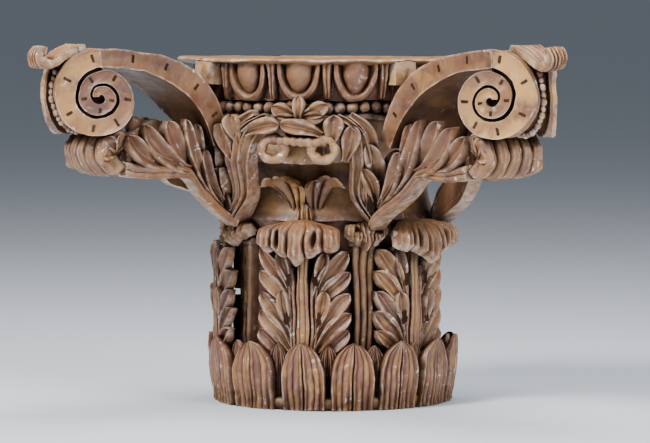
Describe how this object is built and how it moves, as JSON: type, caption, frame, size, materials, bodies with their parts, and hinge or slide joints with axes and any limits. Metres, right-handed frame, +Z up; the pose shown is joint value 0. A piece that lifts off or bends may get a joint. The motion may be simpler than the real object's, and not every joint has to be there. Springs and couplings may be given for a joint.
{
  "type": "carved half column capital",
  "caption": "Carved and once painted wooden half capital of composite form: leaf-clad drum, egg and dart rim and two spiral corner volutes, flat at the back",
  "frame": {"origin": "the column's axis on the underside of the foot, 40 mm in front of the flat back", "axes": "+X to the right of someone who faces the carved front, +Y to the flat back, +Z up"},
  "size_m": [0.6748, 0.382, 0.4656],
  "materials": {
    "painted_wood": "worn mauve-brown paint over gesso on carved softwood, rubbed pale on the edges",
    "scroll_wood": "the same worn paint, with more bare ochre wood on the scrolls"
  },
  "bodies": {
    "root": {"drum": "painted_wood", "left_volute": "scroll_wood", "right_volute": "scroll_wood"}
  },
  "joints": []
}
